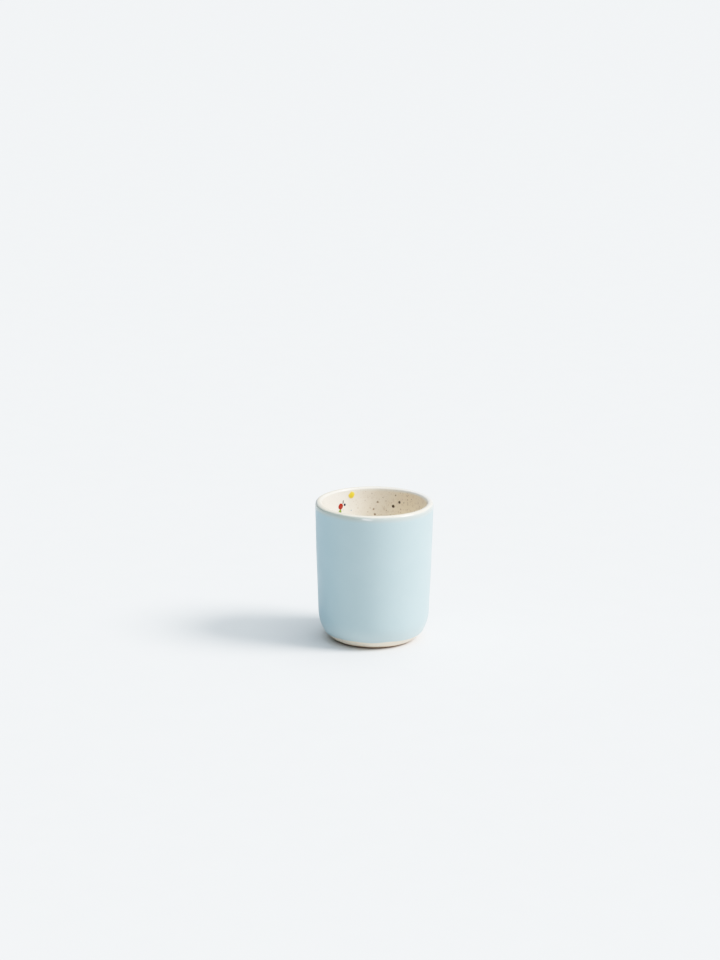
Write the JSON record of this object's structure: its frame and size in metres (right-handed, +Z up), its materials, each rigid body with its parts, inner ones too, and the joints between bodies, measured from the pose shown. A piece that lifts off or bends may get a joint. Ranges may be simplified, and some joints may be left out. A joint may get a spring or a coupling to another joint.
{
  "type": "espresso cup",
  "caption": "Small handleless stoneware espresso cup with a straight wall, rounded base and bare clay foot; pale blue glaze outside, cream glaze inside with fused colour drops.",
  "frame": {"origin": "centre of the foot ring on the table plane, the bottom centre of the bounding box", "axes": "+Z up along the cup's axis, +X to the viewer's right and -Y towards the viewer in the picture"},
  "size_m": [0.055, 0.0548, 0.0655],
  "materials": {
    "bare_clay": "matte",
    "blue_glaze": "satin",
    "cream_glaze": "gloss",
    "yellow_glaze": "gloss",
    "red_glaze": "gloss",
    "green_glaze": "gloss",
    "navy_glaze": "gloss",
    "grey_glaze": "gloss",
    "iron_speck": "satin"
  },
  "bodies": {
    "root": {"clay_body": "bare_clay", "outer_glaze": "blue_glaze", "liner_glaze": "cream_glaze", "drops_yellow": "yellow_glaze", "drops_red": "red_glaze", "drops_green": "green_glaze", "drops_navy": "navy_glaze", "drops_grey": "grey_glaze", "specks_brown": "iron_speck"}
  },
  "joints": []
}
